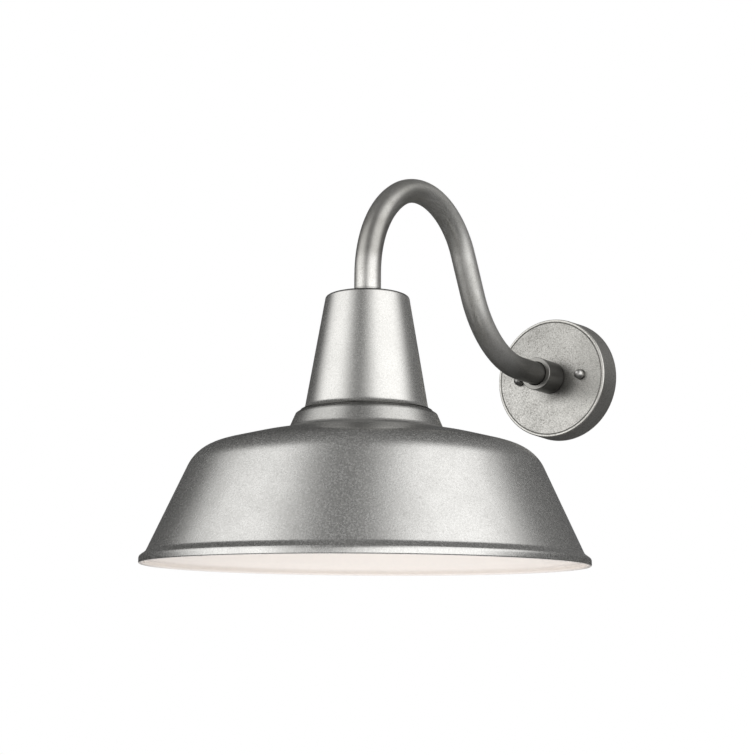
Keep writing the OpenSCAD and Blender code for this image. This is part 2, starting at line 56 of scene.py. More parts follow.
# 0 up to low, 1 from high on, and straight between them
def ramp(value, low, high):
    return np.clip((value - low) / (high - low), 0, 1)


# Straight lines through the points. Each inner corner becomes an arc that touches both
# lines: its centre lies on the corner's bisector, at radius / sin(half the corner's angle)
def filleted(points, radii, stepDeg=6.0, spacing=4.0):
    p = np.asarray(points, float)
    runs = [p[:1]]
    for before, corner, after, r in zip(p[:-2], p[1:-1], p[2:], radii):
        if r <= 0:
            runs.append(corner[None])
            continue
        u, v = unit(before - corner), unit(after - corner)
        half = math.acos(float(np.clip(u @ v, -1, 1))) / 2
        centre = corner + unit(u + v) * r / math.sin(half)
        a = corner + u * r / math.tan(half) - centre
        b = corner + v * r / math.tan(half) - centre
        start = math.atan2(a[1], a[0])
        sweep = (math.atan2(b[1], b[0]) - start + math.pi) % (2 * math.pi) - math.pi
        n = max(2, math.ceil(abs(math.degrees(sweep)) / stepDeg))
        t = start + sweep * np.linspace(0, 1, n + 1)
        runs.append(centre + r * np.stack([np.cos(t), np.sin(t)], 1))
    runs.append(p[-1:])
    line = np.concatenate(runs)
    apart = np.linalg.norm(np.diff(line, axis=0), axis=1) > 1e-6
    line = line[np.concatenate([[True], apart])]
    steps = [np.linspace(a, b, max(1, math.ceil(np.linalg.norm(b - a) / spacing)), endpoint=False)
             for a, b in zip(line[:-1], line[1:])]
    return np.concatenate(steps + [line[-1:]])


# The corners moved by t to the right of the path, with radii that keep the thickness even
def offsetCorners(points, radii, t):
    p = np.asarray(points, float)
    d = np.diff(p, axis=0)
    d /= np.linalg.norm(d, axis=1)[:, None]
    side = np.stack([d[:, 1], -d[:, 0]], 1)
    a, b = np.concatenate([side[:1], side]), np.concatenate([side, side[-1:]])
    moved = p + (a + b) * t / (1 + (a * b).sum(1))[:, None]
    turn = d[:-1, 0] * d[1:, 1] - d[:-1, 1] * d[1:, 0]
    inner = [0 if r <= 0 else max(leastRadius, r - t) if k < 0 else r + t
             for r, k in zip(radii, turn)]
    return moved, inner


# Outer and inner line of a sheet of even thickness
def sheetProfile(points, radii, wall, stepDeg):
    outer = filleted(points, radii, stepDeg)
    return outer, filleted(*offsetCorners(points, radii, wall), stepDeg)


# Surface from a grid of points [row, around]. Each cell is a quad. The second direction
# always closes, the first closes on request, and a row of one single place is a pole.
# The sum of the signed pyramids under the faces tells whether they look outwards
def gridMesh(name, rows, closedRows, slots):
    rows = np.asarray(rows, float) * mm
    m, n = rows.shape[:2]
    index = np.arange(m * n).reshape(m, n)
    pole = np.ptp(rows, axis=1).max(1) < 1e-9
    index[pole] = index[pole][:, :1]
    last = m if closedRows else m - 1
    i = np.arange(last)
    a, b = index[i], index[(i + 1) % m]
    quads = np.stack([a, np.roll(a, -1, 1), np.roll(b, -1, 1), b], -1).reshape(-1, 4)
    flat = rows.reshape(-1, 3)
    c = flat[quads] - flat.mean(0)
    volume = (np.einsum("ij,ij->i", c[:, 0], np.cross(c[:, 1], c[:, 2]))
              + np.einsum("ij,ij->i", c[:, 0], np.cross(c[:, 2], c[:, 3]))).sum()
    if volume < 0:
        quads = quads[:, ::-1]
    cellSlot = np.repeat(np.zeros(last, int) if slots is None else slots[:last], n)
    used, quads = np.unique(quads, return_inverse=True)
    faces = [list(dict.fromkeys(q)) for q in quads.reshape(-1, 4).tolist()]
    mesh = bpy.data.meshes.new(name)
    mesh.from_pydata(flat[used].tolist(), [], faces)
    mesh.polygons.foreach_set("material_index", cellSlot)
    mesh.update()
    return mesh


# Profile of (radius, height) turned round an axis: across = r cos t, along = r sin t.
# On the wall the height runs out of the wall, against Y. ripple(t, height) adds to the radius
def turned(profile, around, axis="shade", ripple=None, centre=(0.0, 0.0)):
    p = np.asarray(profile, float)
    t = np.linspace(0, 2 * math.pi, around, endpoint=False)[None, :]
    r, h = np.repeat(p[:, :1], around, 1), np.repeat(p[:, 1:2], around, 1)
    if ripple is not None:
        r = r + ripple(t, h)
    if axis == "wall":
        return np.stack([centre[0] + r * np.cos(t), -h, centre[1] + r * np.sin(t)], -1)
    return np.stack([shadeAxis[0] + r * np.cos(t), shadeAxis[1] + r * np.sin(t), h], -1)


# A line at one radius, down over the heights
def upright(radius, heights):
    return np.stack([np.full_like(heights, radius), heights], 1)


# A piece of one or more grids, which rides on a body and takes the place of CAD nodes
def addPiece(name, grids, body, replaced, materials, closedRows=True, slots=None):
    parts = [bpy.data.objects.new(name, gridMesh(name, grid, closedRows, slots)) for grid in grids]
    for part in parts:
        bpy.context.scene.collection.objects.link(part)
    piece = parts[0]
    if len(parts) > 1:
        with bpy.context.temp_override(active_object=piece, object=piece,
                                       selected_editable_objects=parts):
            bpy.ops.object.join()
    for material in materials:
        piece.data.materials.append(material)
    piece.data.shade_smooth()
    piece.data.set_sharp_from_angle(angle=sharpAngle)
    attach(piece, body)
    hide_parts(*replaced)


# Shader functions

# Links another node's output to the socket, or gives the socket its own value
def plug(tree, socket, value):
    if isinstance(value, bpy.types.NodeSocket):
        tree.links.new(value, socket)
    else:
        socket.default_value = value


# Inputs are named with _ for a space, or i and their number where the names repeat
def addNode(tree, kind, settings=None, **values):
    node = tree.nodes.new("ShaderNode" + kind)
    for key, value in (settings or {}).items():
        setattr(node, key, value)
    for key, value in values.items():
        which = int(key[1:]) if key[1:].isdigit() else key.replace("_", " ")
        plug(tree, node.inputs[which], value)
    return node


def noise(tree, vector, scale, detail, roughness):
    return addNode(tree, "TexNoise", Vector=vector, Scale=scale, Detail=detail,
                   Roughness=roughness).outputs["Fac"]


# Smooth step from toLow at low to toHigh at high, where low may be the larger one
def spread(tree, value, low, high, toLow=0.0, toHigh=1.0):
    return addNode(tree, "MapRange", {"interpolation_type": "SMOOTHSTEP"}, i0=value, i1=low,
                   i2=high, i3=toLow, i4=toHigh).outputs[0]


def calc(tree, operation, a, b=0.0):
    return addNode(tree, "Math", {"operation": operation}, i0=a, i1=b).outputs[0]


def total(tree, first, *others):
    for other in others:
        first = calc(tree, "ADD", first, other)
    return first


def product(tree, first, *others):
    for other in others:
        first = calc(tree, "MULTIPLY", first, other)
    return first


def mixColour(tree, share, a, b):
    return addNode(tree, "Mix", {"data_type": "RGBA"}, i0=share, i6=a, i7=b).outputs[2]


def mixValue(tree, share, a, b):
    return addNode(tree, "Mix", {"data_type": "FLOAT"}, i0=share, i2=a, i3=b).outputs[0]


# Grey with a little more red and less blue as warmth grows
def grey(value, warmth=0.0):
    return (value * (1 + warmth), value, value * (1 - 3 * warmth), 1)


def newMaterial(name, **fixed):
    material = bpy.data.materials.new(name)
    material.use_nodes = True
    tree = material.node_tree
    shader = tree.nodes["Principled BSDF"]
    for key, value in fixed.items():
        shader.inputs[key.replace("_", " ")].default_value = value
    return material, tree, shader


def objectPlace(tree):
    return addNode(tree, "TexCoord").outputs["Object"]


def bumpNormal(tree, shader, height, strength):
    bump = addNode(tree, "Bump", Height=height, Strength=strength, Distance=bumpDistance)
    tree.links.new(bump.outputs["Normal"], shader.inputs["Normal"])


# Weathered coat: fine light and dark speckle over wide soft patches, the same in every
# direction, with matte flecks over the metal. Each noise has its waves per metre, detail and
# roughness, and each range is where its effect starts and where it is full
coat = {
    "grain": (900.0, 3.0, 0.65), "grainRange": (0.30, 0.70),
    "flecks": (420.0, 2.0, 0.6), "fleckRange": (0.56, 0.70), "fleckShare": 0.45,
    "patches": (42.0, 4.0, 0.55), "patchRange": (0.32, 0.68),
    "matte": (760.0, 2.0, 0.6), "matteRange": (0.40, 0.68),
    "middle": 0.35, "roughening": 0.18,
}
coatSockets = [
    ("INPUT", "NodeSocketVector", ["Vector"]),
    ("INPUT", "NodeSocketColor", ["Colour", "Dark"]),
    ("INPUT", "NodeSocketFloat", ["Speckle", "Patches", "Fineness", "Roughness", "Matte"]),
    ("OUTPUT", "NodeSocketColor", ["Colour"]),
    ("OUTPUT", "NodeSocketFloat", ["Roughness", "Height", "Metal"]),
]


def coatGroup():
    c = coat
    t = bpy.data.node_groups.new("weatheredCoat", "ShaderNodeTree")
    for way, kind, labels in coatSockets:
        for label in labels:
            t.interface.new_socket(label, in_out=way, socket_type=kind)
    given, result = t.nodes.new("NodeGroupInput").outputs, t.nodes.new("NodeGroupOutput").inputs
    place, speckle = given["Vector"], given["Speckle"]

    def fine(what):
        waves, detail, roughness = c[what]
        return noise(t, place, product(t, given["Fineness"], waves), detail, roughness)

    grain = spread(t, fine("grain"), *c["grainRange"], -0.5, 0.5)
    flecks = spread(t, fine("flecks"), *c["fleckRange"])
    patches = spread(t, noise(t, place, *c["patches"]), *c["patchRange"], -0.5, 0.5)
    matte = spread(t, fine("matte"), *c["matteRange"])
    # How far the colour has turned to the dark one, which also makes it rougher and lower
    amount = total(t, product(t, grain, speckle), product(t, flecks, speckle, c["fleckShare"]),
                   product(t, patches, given["Patches"]), c["middle"])
    rough = product(t, calc(t, "SUBTRACT", amount, c["middle"]), c["roughening"])
    plug(t, result["Colour"],
         mixColour(t, calc(t, "MAXIMUM", amount, 0.0), given["Colour"], given["Dark"]))
    plug(t, result["Roughness"], total(t, given["Roughness"], rough))
    plug(t, result["Height"], calc(t, "SUBTRACT", 1.0, amount))
    plug(t, result["Metal"], calc(t, "SUBTRACT", 1.0, product(t, matte, given["Matte"])))
    return t


weathered = coatGroup()

# Lines that a mask can measure its distance from: a point, and the directions that count.
# They are the shade's axis, the plate's, and one a little right of and below the collar's,
# which centres the painted shadow beside the collar
maskLines = {
    "shadeR": ((*shadeAxis, 0.0), (1, 1, 0)),
    "plateR": ((0.0, 0.0, 0.0), (1, 0, 1)),
    "haloR": ((6.0, 0.0, -4.0), (1, 0, 1)),
}


# A coordinate by its letter, or the distance from one of the lines
def measure(tree, place, what):
    if what not in maskLines:
        return addNode(tree, "SeparateXYZ", i0=place).outputs[what]
    point, flat = maskLines[what]
    moved = addNode(tree, "VectorMath", {"operation": "SUBTRACT"}, i0=place,
                    i1=[c * mm for c in point]).outputs[0]
    across = addNode(tree, "VectorMath", {"operation": "MULTIPLY"}, i0=moved, i1=flat).outputs[0]
    return addNode(tree, "VectorMath", {"operation": "LENGTH"}, i0=across).outputs["Value"]


# A mask is its strength and any number of (what is measured, where it starts, where it is full)
def maskValue(tree, place, strength, *limits):
    steps = [spread(tree, measure(tree, place, what), start * mm, full * mm)
             for what, start, full in limits]
    return product(tree, strength, *steps)


# Each layer is a tint and its masks, of which the strongest one counts
def layered(tree, place, colour, layers):
    for tint, first, *others in layers:
        share = maskValue(tree, place, *first)
        for mask in others:
            share = calc(tree, "MAXIMUM", share, maskValue(tree, place, *mask))
        colour = mixColour(tree, share, colour, tint)
    return colour


# One weathered metal: the coat's own values, the tinted layers on it, and where it is duller
def pewter(name, f):
    material, tree, shader = newMaterial(name, Specular_Tint=grey(f["edgeTint"]))
    place = objectPlace(tree)
    made = addNode(tree, "Group", {"node_tree": weathered}, Vector=place, Colour=f["colour"],
                   Dark=f["dark"], Speckle=f["speckle"], Patches=f["patches"],
                   Fineness=f["fineness"], Roughness=f["roughness"], Matte=f["matte"]).outputs
    rough = made["Roughness"]
    if "duller" in f:
        rough = total(tree, rough, maskValue(tree, place, *f["duller"]))
    plug(tree, shader.inputs["Base Color"], layered(tree, place, made["Colour"], f["layers"]))
    plug(tree, shader.inputs["Roughness"], rough)
    plug(tree, shader.inputs["Metallic"], made["Metal"])
    bumpNormal(tree, shader, made["Height"], f["bump"])
    return material


# Painted shade on the step's side, on the dome round the step's foot to dim its reflection
# there, and in the seam under the neck's foot. The sheet is duller where the step meets the dome
pewterSpun = pewter("pewterSpun", {
    "colour": grey(0.76, 0.008), "dark": grey(0.30, 0.02), "speckle": 0.24, "patches": 0.10,
    "fineness": 1.0, "roughness": 0.28, "edgeTint": 0.62, "matte": 0.17, "bump": 0.34,
    "layers": [
        (grey(0.20, 0.03), (0.24, ("Z", -92.5, -90.0), ("Z", -77.2, -78.8))),
        (grey(0.08, 0.03), (0.45, ("shadeR", 140, 120), ("Z", -89.6, -92.0))),
        (grey(0.05, 0.03), (0.6, ("Z", -80.2, -78.6))),
    ],
    "duller": (0.22, ("shadeR", 95, 72), ("Z", -89.0, -91.2)),
})

# Painted shade in the seam at the neck's foot and round its crown's edge
pewterNeck = pewter("pewterNeck", {
    "colour": grey(0.77, 0.010), "dark": grey(0.36, 0.02), "speckle": 0.24, "patches": 0.06,
    "fineness": 1.1, "roughness": 0.28, "edgeTint": 0.75, "matte": 0.15, "bump": 0.18,
    "layers": [
        (grey(0.05, 0.03), (0.92, ("Z", -73.8, -75.0)),
         (0.75, ("Z", 17.7, 18.6), ("shadeR", 31.0, 32.2))),
    ],
})

# Painted shade makes it darker away from the neck, dims the highlight over the first bend and
# the crest, and is darkest near the collar and in the ring where the tube meets the neck. The
# arm is also duller away from the neck
pewterArm = pewter("pewterArm", {
    "colour": grey(0.86, 0.008), "dark": grey(0.32, 0.04), "speckle": 0.34, "patches": 0.24,
    "fineness": 1.1, "roughness": 0.35, "edgeTint": 0.80, "matte": 0.20, "bump": 0.10,
    "layers": [
        (grey(0.24, 0.03), (0.18, ("Y", -280, -200))),
        (grey(0.24, 0.03), (0.55, ("Z", 34, 66), ("Y", -220, -280)),
         (0.72, ("Z", 42, 62), ("Z", 115, 82), ("Y", -220, -280))),
        (grey(0.06, 0.03), (0.82, ("Y", -152, -80)),
         (0.35, ("Z", 27.7, 26.7), ("Y", -270, -310))),
    ],
    "duller": (0.07, ("Y", -300, -230)),
})

# Painted shade: the collar is much darker than the other pewter, its open end less so, and a
# painted shadow lies at its foot on the plate
pewterCollar = pewter("pewterCollar", {
    "colour": grey(0.19, 0.010), "dark": grey(0.11, 0.02), "speckle": 0.30, "patches": 0.06,
    "fineness": 1.1, "roughness": 0.36, "edgeTint": 1.0, "matte": 0.04, "bump": 0.04,
    "layers": [
        (grey(0.36, 0.02), (0.75, ("Y", -53.7, -54.1))),
        (grey(0.02, 0.03), (0.8, ("Y", -27.2, -25.8))),
    ],
})

# Painted light makes it lighter to the right and painted shade darker towards the top, with a
# painted shadow beside the collar. It is dark in the groove, with a painted highlight on the edge
pewterPlate = pewter("pewterPlate", {
    "colour": grey(0.55, 0.016), "dark": grey(0.17, 0.03), "speckle": 0.86, "patches": 0.18,
    "fineness": 1.12, "roughness": 0.36, "edgeTint": 1.0, "matte": 0.05, "bump": 0.06,
    "layers": [
        (grey(0.80, 0.02), (0.22, ("X", -30, 45))),
        (grey(0.06, 0.03), (0.5, ("haloR", 28, 13))),
        (grey(0.12, 0.03), (0.24, ("Z", -8, 30))),
        (grey(0.07, 0.03), (0.6, ("plateR", 55.4, 56.1), ("plateR", 57.4, 56.7))),
        (grey(0.80, 0.02), (0.5, ("plateR", 57.2, 58.0), ("Y", -23.2, -24.2))),
    ],
})

# Painted shadow round the nuts' flanges, and painted shade over all of the left nut
pewterNut = pewter("pewterNut", {
    "colour": grey(0.64, 0.010), "dark": grey(0.34, 0.02), "speckle": 0.20, "patches": 0.10,
    "fineness": 1.3, "roughness": 0.33, "edgeTint": 1.0, "matte": 0.03, "bump": 0.03,
    "layers": [(grey(0.05, 0.03), (0.85, ("Y", -27.6, -26.4)), (0.5, ("X", 0, -20)))],
})

# Plain finishes of the pieces inside and behind: fine grain and wide mottling, added up, turn
# the colour to the darker one, and the grain also varies the roughness. Each noise has its
# detail and roughness
mottling = {"fine": (3.0, 0.6), "wide": (3.0, 0.5), "wider": 0.12, "fineShare": 0.6,
            "wideShare": 0.4, "range": (0.35, 0.65), "roughening": 0.12}


def plain(name, colour, dark, roughness, metallic=0.0, grain=400.0, mottle=0.5, bump=0.0,
          **fixed):
    m = mottling
    material, tree, shader = newMaterial(name, Metallic=metallic, **fixed)
    place = objectPlace(tree)
    fine = noise(tree, place, grain, *m["fine"])
    wide = noise(tree, place, grain * m["wider"], *m["wide"])
    both = total(tree, product(tree, fine, m["fineShare"]), product(tree, wide, m["wideShare"]))
    amount = product(tree, spread(tree, both, *m["range"]), mottle)
    plug(tree, shader.inputs["Base Color"], mixColour(tree, amount, (*colour, 1), (*dark, 1)))
    rough = total(tree, product(tree, fine, m["roughening"]), roughness - m["roughening"] / 2)
    plug(tree, shader.inputs["Roughness"], rough)
    if bump:
        bumpNormal(tree, shader, fine, bump)
    return material


enamel = plain("warmWhiteEnamel", (0.93, 0.875, 0.83), (0.89, 0.845, 0.81), 0.30, grain=250.0,
               mottle=0.4, bump=0.03, Coat_Weight=0.4, Coat_Roughness=0.12)
zinc = plain("brightZinc", (0.66, 0.68, 0.70), (0.50, 0.52, 0.55), 0.32, metallic=1.0,
             grain=300.0, mottle=0.6, bump=0.08)
greenZinc = plain("greenScrew", (0.10, 0.36, 0.16), (0.05, 0.22, 0.09), 0.35, metallic=0.7,
                  grain=500.0)
brass = plain("plainBrass", (0.80, 0.62, 0.30), (0.60, 0.44, 0.20), 0.30, metallic=1.0,
              grain=350.0, bump=0.05)
foam = plain("closedCellFoam", (0.045, 0.045, 0.047), (0.018, 0.018, 0.02), 0.9, grain=900.0,
             mottle=0.9, bump=0.6)
porcelain = plain("glazedPorcelain", (0.86, 0.84, 0.79), (0.80, 0.77, 0.71), 0.16, grain=180.0,
                  mottle=0.4, bump=0.02, Coat_Weight=0.5, Coat_Roughness=0.06)
greenLead = plain("greenInsulation", (0.03, 0.26, 0.09), (0.02, 0.18, 0.06), 0.42, grain=600.0,
                  mottle=0.4)
blackLead = plain("blackInsulation", (0.03, 0.03, 0.032), (0.015, 0.015, 0.016), 0.42,
                  grain=600.0, mottle=0.4)
whiteLead = plain("whiteInsulation", (0.84, 0.84, 0.81), (0.74, 0.74, 0.70), 0.42, grain=600.0,
                  mottle=0.4)
orangeNylon = plain("orangeNylon", (0.82, 0.26, 0.04), (0.66, 0.19, 0.03), 0.5, grain=500.0,
                    bump=0.1)
solder = plain("solder", (0.62, 0.62, 0.61), (0.42, 0.42, 0.42), 0.34, metallic=1.0,
               grain=500.0, mottle=0.6, bump=0.2)
blackGlass = plain("blackGlass", (0.02, 0.02, 0.026), (0.01, 0.01, 0.012), 0.12, grain=300.0)
capMetal = plain("capAluminium", (0.76, 0.76, 0.75), (0.60, 0.60, 0.60), 0.28, metallic=1.0,
                 grain=420.0, mottle=0.4, bump=0.05)
tungsten = plain("tungsten", (0.20, 0.20, 0.21), (0.12, 0.12, 0.13), 0.45, metallic=1.0,
                 grain=700.0)
frosted = plain("frostedGlass", (0.93, 0.93, 0.92), (0.89, 0.89, 0.88), 0.30, grain=300.0,
                mottle=0.4, Transmission_Weight=0.35, Coat_Weight=0.6, Coat_Roughness=0.05,
                IOR=1.5)
clearGlass = plain("clearGlass", (0.95, 0.96, 0.96), (0.90, 0.92, 0.92), 0.05, grain=300.0,
                   mottle=0.3, Transmission_Weight=0.9, IOR=1.5)
print("finishes ready")


# Shade: one spun sheet, satin outside and white inside, with a rolled hem at its lip
shade = {
    "top": -75.6, "throat": 34.0, "seat": 53.8, "wall": 1.2, "around": 320, "stepDeg": 5.0,
    "throatEdge": 0.6, "seatEdge": 1.5, "step": [(57.5, -77.9), (63.4, -91.8)], "stepFoot": 6.0,
    "domePoint": (62.9, -89.6), "domeAngle": 14.8, "bow": 94.0, "bowR": 180.0, "shoulder": 31.4,
    "crease": (172.65, -190.1), "creaseBend": 5.5, "skirtAngle": 24.2, "rim": 177.8,
    "band": -193.9, "bandBend": 3.2, "low": -199.5, "hem": 1.3, "hemLap": 0.9, "hemPoints": 22,
    "hemGap": 0.4, "bareHem": 3,
}


# The dome's straight line and the skirt's meet in the corner that the shoulder rounds off
def makeShade():
    s = shade
    skirt, dome = math.tan(math.radians(s["skirtAngle"])), math.tan(math.radians(s["domeAngle"]))
    (domeR, domeZ), (creaseR, creaseZ) = s["domePoint"], s["crease"]
    cornerZ = (domeZ + dome * (domeR - creaseR - creaseZ * skirt)) / (1 - dome * skirt)
    corner = (creaseR - (cornerZ - creaseZ) * skirt, cornerZ)
    bow = (s["bow"], domeZ - dome * (s["bow"] - domeR))
    points = [(s["throat"], s["top"]), (s["seat"], s["top"]), *s["step"], bow, corner,
              s["crease"], (s["rim"], s["band"]), (s["rim"], s["low"] + s["hem"])]
    radii = [s["throatEdge"], s["seatEdge"], s["stepFoot"], s["bowR"], s["shoulder"],
             s["creaseBend"], s["bandBend"]]
    outer, inner = sheetProfile(points, radii, s["wall"], s["stepDeg"])
    # The hem turns in from the outer face: an arc of its own radius, back to the inner face
    centre = np.array([s["rim"] - s["hem"], s["low"] + s["hem"]])
    stop = math.pi + math.asin((s["hem"] - s["wall"]) / s["hem"] * 0.5) + s["hemLap"]
    t = -np.linspace(0, stop, s["hemPoints"])[1:]
    bead = centre + s["hem"] * np.stack([np.cos(t), np.sin(t)], 1)
    inner = inner[inner[:, 1] > bead[-1, 1] + s["hemGap"]]
    profile = np.concatenate([outer, bead, inner[::-1]])
    # The white starts a few points into the hem and ends at the throat
    slots = np.zeros(len(profile), int)
    slots[len(outer) + s["bareHem"]:len(profile) - 1] = 1
    return turned(profile, s["around"]), slots


shadeRows, shadeSlots = makeShade()
addPiece("spunShade", [shadeRows], "root", ["shade"], [pewterSpun, enamel],
         slots=shadeSlots)

# Neck housing: a drawn cone with a rounded crown and a flared foot that sits on the shade
neck = {
    "crown": 20.0, "foot": -75.6, "crownR": 34.4, "lowR": 50.1, "footR": 53.6, "edge": 2.2,
    "blend": 5.0, "footEdge": 0.8, "drop": 1.7, "wall": 2.0, "flange": 2.0, "throat": 34.0,
    "hole": 5.3, "flangeEdges": [0.35, 0.5, 0.5], "around": 224, "stepDeg": 4.0,
}


def makeNeck():
    n = neck
    low = n["foot"] + n["footEdge"]
    points = [(n["hole"], n["crown"]), (n["crownR"], n["crown"]), (n["lowR"], low + n["drop"]),
              (n["footR"], low)]
    outer, inner = sheetProfile(points, [n["edge"], n["blend"]], n["wall"], n["stepDeg"])
    top = n["foot"] + n["flange"]
    inner = inner[inner[:, 1] > top]
    under = filleted([(n["footR"], low), (n["footR"], n["foot"]), (n["throat"], n["foot"]),
                      (n["throat"], top), (inner[-1, 0], top)], n["flangeEdges"])
    return turned(np.concatenate([outer, under[1:], inner[::-1]]), n["around"])


addPiece("neckHousing", [makeNeck()], "root", ["neck_housing"], [pewterNeck])

# Wall plate: a shallow drawn dish with a rolled edge and a fine groove round its face
plate = {
    "backR": 60.3, "faceR": 59.4, "depth": 25.0, "edge": 1.3, "wall": 1.2, "hole": 5.3,
    "grooveR": 56.4, "groove": 0.4, "grooveEdges": [0.25, 0.2, 0.2, 0.25], "grooveSpacing": 0.3,
    "rimHigh": 0.4, "rimWide": 0.1, "around": 288, "stepDeg": 6.0,
}


def makePlate():
    p = plate
    corners = [(p["hole"], p["depth"]), (p["faceR"], p["depth"]), (p["backR"], 0)]
    outer, inner = sheetProfile(corners, [p["edge"]], p["wall"], p["stepDeg"])
    # The groove is cut as deep as its half-width, with a narrow flat floor
    g, w, d = p["grooveR"], p["groove"], p["depth"]
    notch = filleted([(g - 2 * w, d), (g - w, d), (g - w / 4, d - w), (g + w / 4, d - w),
                      (g + w, d), (g + 2 * w, d)], p["grooveEdges"], spacing=p["grooveSpacing"])
    outer = np.concatenate([outer[outer[:, 0] < g - 2 * w], notch, outer[outer[:, 0] > g + 2 * w]])
    inner = inner[inner[:, 1] > p["rimHigh"]]
    foot = np.array([(inner[-1, 0] + p["rimWide"], 0.0)])
    return turned(np.concatenate([outer, foot, inner[::-1]]), p["around"], "wall")


addPiece("wallPlate", [makePlate()], "root", ["wall_plate"], [pewterPlate])

# Collar: a turned ring with a broken edge, opened at its mouth so that the arm stands clear
collar = {
    "r": 16.0, "bore": 11.2, "low": 25.0, "length": 29.5, "footIn": 0.5, "footUp": 0.6,
    "mouth": 0.55, "mouthDeep": 2.2, "mouthEnd": 3.0, "edges": [0, 0.4, 0.7, 0.3, 0.2],
    "around": 128, "spacing": 3.0,
}


def makeCollar():
    c = collar
    top, mouth = c["low"] + c["length"], c["bore"] + c["mouth"]
    corners = [(c["bore"], c["low"]), (c["r"] - c["footIn"], c["low"]),
               (c["r"], c["low"] + c["footUp"]), (c["r"], top), (mouth, top),
               (mouth, top - c["mouthDeep"]), (c["bore"], top - c["mouthEnd"])]
    return turned(filleted(corners, c["edges"], spacing=c["spacing"]), c["around"], "wall")


addPiece("armCollar", [makeCollar()], "root", ["arm_collar"], [pewterCollar])

# Cap nuts: a ball drawn out of a thin flange, bored for its stud
nut = {
    "ball": 4.8, "height": 3.4, "ballEnd": -14.0, "ballPoints": 27, "waist": 0.05, "flange": 5.2,
    "thick": 1.0, "bore": 2.2, "cavity": 6.2, "edges": [0.3, 0.4, 0.15, 0.2, 0], "low": 25.0,
    "apart": 34.0, "around": 96, "spacing": 1.5,
}


def makeNut(x):
    n = nut
    t = np.radians(np.linspace(90, n["ballEnd"], n["ballPoints"]))
    ball = np.stack([n["ball"] * np.cos(t), n["height"] + n["ball"] * np.sin(t)], 1)
    skirt = filleted([ball[-1], (ball[-1, 0] + n["waist"], n["thick"]),
                      (n["flange"], n["thick"]), (n["flange"], 0), (n["bore"], 0),
                      (n["bore"], n["cavity"]), (0, n["cavity"])],
                     n["edges"], spacing=n["spacing"])
    profile = np.concatenate([ball, skirt[1:]]) + (0, n["low"])
    return turned(profile, n["around"], "wall", centre=(x, 0))


for side, sign in (("left", -1), ("right", 1)):
    addPiece("capNut" + side.capitalize(), [makeNut(sign * nut["apart"])], side + "_nut",
             ["cap_nut_" + side], [pewterNut], closedRows=False)

# Arm: a tube bent three times in the plane X = 0, a little flattened where it goes over the
# top. Each bend is its radius and its angle in degrees
arm = {
    "r": 11.1, "bore": 9.6, "start": 20.0, "rise": 20.6, "gap": 1.0, "wallDepth": 25.0,
    "bends": [(94.0, 56.0), (71.0, 99.0), (94.0, 65.0)], "reach": 332.0, "flat": 0.07,
    "flatEase": 161, "around": 64, "fine": 0.25, "spacing": 3.0,
}


# The centre line as one array: each straight adds its direction times its length, and each
# bend turns the direction by angle = travelled length / bend radius. The straights between
# the bends take up what is left of the height and of the reach
def armLine():
    a = arm
    (r1, a1), (r2, a2), (r3, a3) = a["bends"]
    h1, h2 = math.radians(a1), math.radians(a1 + a2)
    topZ = (a["start"] + a["rise"] + r1 * math.sin(h1) + a["gap"] * math.cos(h1)
            + r2 * (math.sin(h2) - math.sin(h1)))
    middle = (topZ - r3 * (1 - math.sin(h2))) / -math.cos(h2)
    run = (a["reach"] - a["wallDepth"] - r1 * (1 - math.cos(h1)) - a["gap"] * math.sin(h1)
           - r2 * (math.cos(h1) - math.cos(h2)) - middle * math.sin(h2) + r3 * math.cos(h2))
    # Every leg is its length and how fast its direction turns
    legs = [(a["rise"], 0), (r1 * h1, 1 / r1), (a["gap"], 0), (r2 * (h2 - h1), 1 / r2),
            (middle, 0), (r3 * math.radians(a3), -1 / r3), (run, 0)]
    ends = np.cumsum([0] + [length for length, _ in legs])
    s = np.linspace(0, ends[-1], int(ends[-1] / a["fine"]) + 1)
    bend = np.zeros_like(s)
    for (length, k), low in zip(legs, ends):
        bend[(s >= low) & (s < low + length)] = k
    step = s[1] - s[0]
    heading = np.concatenate([[0], np.cumsum((bend[1:] + bend[:-1]) / 2 * step)])
    mid = (heading[1:] + heading[:-1]) / 2
    y = -a["reach"] + np.concatenate([[0], np.cumsum(np.sin(mid) * step)])
    z = a["start"] + np.concatenate([[0], np.cumsum(np.cos(mid) * step)])
    # The flattening comes and goes over the length of a running mean
    ease = np.ones(a["flatEase"]) / a["flatEase"]
    flat = a["flat"] * ramp(np.convolve(bend * r2, ease, "same"), 0, 1) ** 2
    keep = np.unique(np.linspace(0, len(s) - 1, int(ends[-1] / a["spacing"])).astype(int))
    return y[keep], z[keep], heading[keep], flat[keep]


# The tube's point: centre + normal * (1 - flat) * radius * cos t + X * radius * sin t
def makeArm():
    y, z, heading, flat = armLine()
    t = np.linspace(0, 2 * math.pi, arm["around"], endpoint=False)

    def tube(radius):
        across = radius * np.cos(t)[None, :] * (1 - flat)[:, None]
        return np.stack([np.broadcast_to(radius * np.sin(t), across.shape),
                         y[:, None] - across * np.cos(heading)[:, None],
                         z[:, None] + across * np.sin(heading)[:, None]], -1)

    return np.concatenate([tube(arm["r"]), tube(arm["bore"])[::-1]])


addPiece("gooseneckTube", [makeArm()], "root", ["gooseneck_arm"], [pewterArm])
print("outer pieces ready")

# Porcelain socket: a glazed barrel under a wider head, open below for the screw shell
socket = {
    "head": 22.5, "barrel": 19.5, "top": -10.0, "headLow": -24.0, "rim": -60.0, "bore": 14.25,
    "floor": -28.0, "edges": [1.2, 1.2, 0.8, 1.2, 0.8, 0.6], "around": 128, "spacing": 2.5,
}


def makePorcelain():
    s = socket
    corners = [(0, s["top"]), (s["head"], s["top"]), (s["head"], s["headLow"]),
               (s["barrel"], s["headLow"]), (s["barrel"], s["rim"]), (s["bore"], s["rim"]),
               (s["bore"], s["floor"]), (0, s["floor"])]
    return turned(filleted(corners, s["edges"], spacing=s["spacing"]), s["around"])


